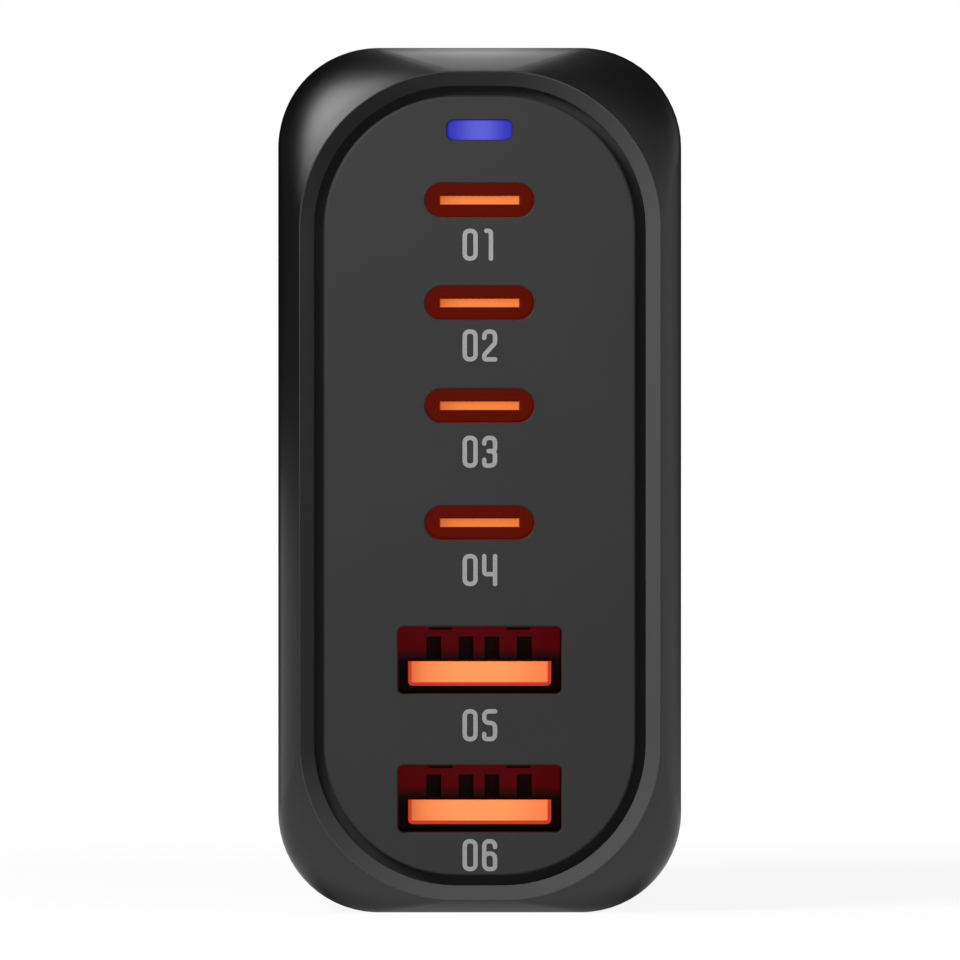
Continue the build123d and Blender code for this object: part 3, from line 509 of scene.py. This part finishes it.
ripple = 6.0 * MM
ripple_depth = 0.02 * MM
mouth_chamfer = 1.1 * MM
black_abs = blank_finish("polished_abs_black")
spot = add(black_abs, "ShaderNodeTexCoord").outputs["Object"]
facing = add(black_abs, "ShaderNodeNewGeometry").outputs["Normal"]
low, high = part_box("housing")
axis = (0.0, 0.0, (low.z + high.z) / 2)
from_axis = add(black_abs, "ShaderNodeVectorMath", {0: spot, 1: axis}, operation="SUBTRACT")
outward = add(black_abs, "ShaderNodeVectorMath",
              {0: from_axis.outputs["Vector"], 1: (1.0, 0.0, 1.0)}, operation="MULTIPLY")
leaning = add(black_abs, "ShaderNodeVectorMath", {0: outward.outputs["Vector"], 1: facing},
              operation="DOT_PRODUCT")
inward = add(black_abs, "ShaderNodeMath", {0: leaning.outputs["Value"], 1: 0.0},
             operation="LESS_THAN")
depth = add(black_abs, "ShaderNodeSeparateXYZ", {"Vector": spot})
before_groove = add(black_abs, "ShaderNodeMath",
                    {0: depth.outputs["Y"], 1: low.y + mouth_chamfer}, operation="LESS_THAN")
on_chamfer = add(black_abs, "ShaderNodeMath",
                 {0: inward.outputs["Value"], 1: before_groove.outputs["Value"]},
                 operation="MULTIPLY").outputs["Value"]
waves = add(black_abs, "ShaderNodeTexNoise", {"Vector": spot, "Scale": 1 / ripple, "Detail": 1.0})
ripples = add(black_abs, "ShaderNodeBump",
              {"Height": waves.outputs["Fac"], "Strength": 0.05, "Distance": ripple_depth})
skin_tone = add(black_abs, "ShaderNodeMixRGB",
                {"Fac": on_chamfer, "Color1": linear("#0b0b0b"), "Color2": linear("#5c5c5c")})
skin_gloss = add(black_abs, "ShaderNodeMapRange",
                 {"Value": on_chamfer, "To Min": 0.34, "To Max": 0.7})
skin_mirror = add(black_abs, "ShaderNodeMapRange",
                  {"Value": on_chamfer, "To Min": 0.5, "To Max": 0.08})
black_skin = add(black_abs, "ShaderNodeBsdfPrincipled",
                 {"Base Color": skin_tone.outputs["Color"],
                  "Roughness": skin_gloss.outputs["Result"], "IOR": 1.53,
                  "Specular IOR Level": skin_mirror.outputs["Result"],
                  "Normal": ripples.outputs["Normal"]})
add(black_abs, "ShaderNodeOutputMaterial", {"Surface": black_skin.outputs["BSDF"]})
dress(black_abs, "housing", "rear_cover")


# Mains inlet: black glass-filled moulding held behind the cover, with two turned brass pins that
# are nickel plated. The plating is bright and even, with fine turning marks round the pins.

dress(black_moulding, "inlet_body")
turning = 0.15 * MM  # coarser than real turning marks, so that they show
nickel_plate = blank_finish("nickel_plated_brass")
spot = add(nickel_plate, "ShaderNodeTexCoord").outputs["Object"]
turned = add(nickel_plate, "ShaderNodeTexWave",
             {"Vector": spot, "Scale": wave_length / turning, "Distortion": 0.4},
             bands_direction="Y")
nickel_gloss = add(nickel_plate, "ShaderNodeMapRange",
                   {"Value": turned.outputs["Fac"], "To Min": 0.18, "To Max": 0.28})
nickel_face = add(nickel_plate, "ShaderNodeBsdfPrincipled",
                  {"Base Color": linear("#d9d5ca"), "Metallic": 1.0,
                   "Roughness": nickel_gloss.outputs["Result"]})
add(nickel_plate, "ShaderNodeOutputMaterial", {"Surface": nickel_face.outputs["BSDF"]})
dress(nickel_plate, "inlet_pin_1", "inlet_pin_2")


# Table: a white laminate top, which the camera sees as paper white under the charger's shadow. In
# the gloss of the sleeve it shows brightest at the right and in front, and dark at the left and
# behind, and under the charger it is darkened by a painted shadow. Its bounce is kept low, so that
# the black stays black.

table_size = 4.0
paper_share = 0.8  # of what is seen, the rest being lit by the lamps and taking the shadow
paper_ring = (0.08, 0.3)  # from the middle of the table, where the white rises to its full level
paper_levels = (1.14, 1.3)
left_edge = (-0.2, -0.06)  # along X, where the reflected table rises from dark to bright
side_levels = (0.1, 1.3)
rear_edge = (-0.03, 0.25)  # along Y, where it falls from bright to dark
rear_level = 0.1
base_side = (0.012, 0.017)  # along X to each side, where the painted shadow under the charger ends
base_front = (-0.0365, -0.033)  # along Y, where that painted shadow starts
under_charger_shadow_level = 0.15

table_points = np.array([[-1, -1, 0], [1, -1, 0], [1, 1, 0], [-1, 1, 0]]) * table_size / 2
table_mesh = bpy.data.meshes.new("table_top")
table_mesh.from_pydata(table_points.tolist(), [], [[0, 1, 2, 3]])
table_top = bpy.data.objects.new("table_top", table_mesh)
bpy.context.scene.collection.objects.link(table_top)

white_laminate = blank_finish("white_laminate")
ray = add(white_laminate, "ShaderNodeLightPath").outputs
seen = add(white_laminate, "ShaderNodeMath",
           {0: ray["Is Camera Ray"], 1: ray["Is Glossy Ray"]}, operation="MAXIMUM")
seen = add(white_laminate, "ShaderNodeMath",
           {0: seen.outputs["Value"], 1: ray["Is Transmission Ray"]}, operation="MAXIMUM")
seen_share = add(white_laminate, "ShaderNodeMath", {0: seen.outputs["Value"], 1: paper_share},
                 operation="MULTIPLY")
spot = add(white_laminate, "ShaderNodeTexCoord").outputs["Object"]
from_middle = add(white_laminate, "ShaderNodeVectorMath", {0: spot}, operation="LENGTH")
shown = add(white_laminate, "ShaderNodeMapRange",
            {"Value": from_middle.outputs["Value"],
             "From Min": paper_ring[0], "From Max": paper_ring[1],
             "To Min": paper_levels[0], "To Max": paper_levels[1]})
place = add(white_laminate, "ShaderNodeSeparateXYZ", {"Vector": spot}).outputs
# Under the charger the table's reflection is darkened: a painted shadow.
aside = add(white_laminate, "ShaderNodeMath", {0: place["X"]}, operation="ABSOLUTE")
beside = add(white_laminate, "ShaderNodeMapRange",
             {"Value": aside.outputs["Value"], "From Min": base_side[0], "From Max": base_side[1]})
in_front = add(white_laminate, "ShaderNodeMapRange",
               {"Value": place["Y"], "From Min": base_front[0], "From Max": base_front[1],
                "To Min": 1.0, "To Max": under_charger_shadow_level})
clear_of_painted_shadow = add(white_laminate, "ShaderNodeMath",
                    {0: beside.outputs["Result"], 1: in_front.outputs["Result"]},
                    operation="MAXIMUM")
to_right = add(white_laminate, "ShaderNodeMapRange",
               {"Value": place["X"], "From Min": left_edge[0], "From Max": left_edge[1],
                "To Min": side_levels[0], "To Max": side_levels[1]})
nearer = add(white_laminate, "ShaderNodeMapRange",
             {"Value": place["Y"], "From Min": rear_edge[0], "From Max": rear_edge[1],
              "To Min": 1.0, "To Max": rear_level})
mirrored = add(white_laminate, "ShaderNodeMath",
               {0: to_right.outputs["Result"], 1: nearer.outputs["Result"]}, operation="MULTIPLY")
mirrored = add(white_laminate, "ShaderNodeMath",
               {0: mirrored.outputs["Value"], 1: clear_of_painted_shadow.outputs["Value"]},
               operation="MULTIPLY")
paper_level = add(white_laminate, "ShaderNodeMix",
                  {"Factor": ray["Is Camera Ray"], "A": mirrored.outputs["Value"],
                   "B": shown.outputs["Result"]})
paper_tone = add(white_laminate, "ShaderNodeMixRGB",
                 {"Fac": ray["Is Camera Ray"],
                  "Color1": linear("#5a5a5a"), "Color2": linear("#e6e6e6")})
laminate = add(white_laminate, "ShaderNodeBsdfDiffuse", {"Color": paper_tone.outputs["Color"]})
paper_white = add(white_laminate, "ShaderNodeEmission",
                  {"Color": linear("#ffffff"), "Strength": paper_level.outputs["Result"]})
laminate_mix = add(white_laminate, "ShaderNodeMixShader",
                   {0: seen_share.outputs["Value"], 1: laminate.outputs["BSDF"],
                    2: paper_white.outputs["Emission"]})
add(white_laminate, "ShaderNodeOutputMaterial", {"Surface": laminate_mix.outputs["Shader"]})
table_mesh.materials.append(white_laminate)


# White card: a low strip of lit card that stands on the table at the left of the charger. It shows
# in the gloss of the sleeve alone, as the soft grey of its lower left side.

card_x, card_front, card_rear, card_height = -62, -70, 20, 31
card_points = np.array([[card_x, card_front, 0], [card_x, card_rear, 0],
                        [card_x, card_rear, card_height], [card_x, card_front, card_height]]) * MM
card_mesh = bpy.data.meshes.new("white_card")
card_mesh.from_pydata(card_points.tolist(), [], [[0, 1, 2, 3]])
white_card = bpy.data.objects.new("white_card", card_mesh)
white_card.visible_camera = white_card.visible_diffuse = white_card.visible_shadow = False
bpy.context.scene.collection.objects.link(white_card)
lit_card = blank_finish("lit_white_card")
card_face = add(lit_card, "ShaderNodeEmission", {"Color": linear("#ffffff"), "Strength": 0.85})
add(lit_card, "ShaderNodeOutputMaterial", {"Surface": card_face.outputs["Emission"]})
card_mesh.materials.append(lit_card)


# Room: a pale studio that is white behind the charger. Its reflection is bright low down at the
# right and in front, and falls off overhead, behind and to the left. It fills shadows only weakly.

overhead_edge, overhead_level = (0.1, 0.45), 0.1  # along the heading's Z
behind_edge, behind_level = (0.3, 0.85), 0.05  # along the heading's Y
right_edge, right_levels = (-0.5, 0.1), (0.1, 0.9)  # along the heading's X
room_fill = 0.08

room = bpy.data.worlds.new("room")
bpy.context.scene.world = room
room.use_nodes = True
room.node_tree.nodes.clear()
room.cycles.sampling_method = "NONE"
toward = add(room, "ShaderNodeTexCoord").outputs["Generated"]
heading = add(room, "ShaderNodeSeparateXYZ", {"Vector": toward}).outputs
low_wall = add(room, "ShaderNodeMapRange",
               {"Value": heading["Z"], "From Min": overhead_edge[0], "From Max": overhead_edge[1],
                "To Min": 1.0, "To Max": overhead_level}, interpolation_type="SMOOTHSTEP")
before = add(room, "ShaderNodeMapRange",
             {"Value": heading["Y"], "From Min": behind_edge[0], "From Max": behind_edge[1],
              "To Min": 1.0, "To Max": behind_level}, interpolation_type="SMOOTHSTEP")
from_right = add(room, "ShaderNodeMapRange",
                 {"Value": heading["X"], "From Min": right_edge[0], "From Max": right_edge[1],
                  "To Min": right_levels[0], "To Max": right_levels[1]},
                 interpolation_type="SMOOTHSTEP")
reflected = add(room, "ShaderNodeMath",
                {0: low_wall.outputs["Result"], 1: before.outputs["Result"]}, operation="MULTIPLY")
reflected = add(room, "ShaderNodeMath",
                {0: reflected.outputs["Value"], 1: from_right.outputs["Result"]},
                operation="MULTIPLY")
ray = add(room, "ShaderNodeLightPath").outputs
mirrored = add(room, "ShaderNodeMath",
               {0: ray["Is Glossy Ray"], 1: ray["Is Transmission Ray"]}, operation="MAXIMUM")
indirect = add(room, "ShaderNodeMix",
               {"Factor": mirrored.outputs["Value"], "A": room_fill,
                "B": reflected.outputs["Value"]})
level = add(room, "ShaderNodeMix",
            {"Factor": ray["Is Camera Ray"], "A": indirect.outputs["Result"], "B": 1.0})
sky = add(room, "ShaderNodeBackground",
          {"Color": linear("#ffffff"), "Strength": level.outputs["Result"]})
add(room, "ShaderNodeOutputWorld", {"Surface": sky.outputs["Background"]})


# Lamps: a large softbox at the upper left gives the light and the shadow, and a small one near the
# upper left corner gives that corner's highlight. A weaker one stands nearer to the camera, and two
# slim tubes close overhead, along the sleeve, draw the bright band of its top edge.

port_face = Vector((0.0, -0.035, 0.04))


def softbox(name, place, size, power):
    """Rectangular lamp of that size in metres, turned from its place towards the port face.
    A lamp over the port face keeps its long side along the sleeve only while its X is 0."""
    lamp = bpy.data.lights.new(name, "AREA")
    lamp.shape = "RECTANGLE"
    lamp.size, lamp.size_y = size
    lamp.energy = power
    holder = bpy.data.objects.new(name, lamp)
    holder.location = place
    holder.visible_camera = False
    holder.rotation_euler = (port_face - Vector(place)).to_track_quat("-Z", "Y").to_euler()
    bpy.context.scene.collection.objects.link(holder)
    return holder


key_light = softbox("upper_left_softbox", place=(-0.228, -0.306, 0.25), size=(0.2, 0.16),
                    power=1.25)
key_light.visible_glossy = False
corner_light = softbox("corner_softbox", place=(-0.051, -0.1, 0.098), size=(0.04, 0.034),
                       power=0.052)
corner_light.visible_diffuse = False
softbox("front_softbox", place=(-0.15, -0.5, 0.17), size=(0.16, 0.12), power=0.12)
softbox("overhead_tube", place=(0.0, -0.0335, 0.1065), size=(0.0115, 0.066), power=0.012)
softbox("rear_tube", place=(0.0, 0.019, 0.1065), size=(0.011, 0.042), power=0.0024)


# Camera: a long lens a little to the left of the charger and a little above its middle, as in the
# photograph, so that the port face is seen almost square on.

camera_azimuth = math.radians(-0.4)
camera_elevation = math.radians(0.9)
camera_distance = 2.0
camera_aim = Vector((0.000023, -0.033, 0.033266))
lens = bpy.data.cameras.new("camera")
lens.lens = 975.0
lens.sensor_width = 36.0
camera = bpy.data.objects.new("camera", lens)
away = Vector((math.sin(camera_azimuth) * math.cos(camera_elevation),
               -math.cos(camera_azimuth) * math.cos(camera_elevation),
               math.sin(camera_elevation)))
camera.location = camera_aim + away * camera_distance
camera.rotation_euler = (-away).to_track_quat("-Z", "Y").to_euler()
bpy.context.scene.collection.objects.link(camera)
bpy.context.scene.camera = camera
bpy.context.scene.view_settings.view_transform = "Standard"
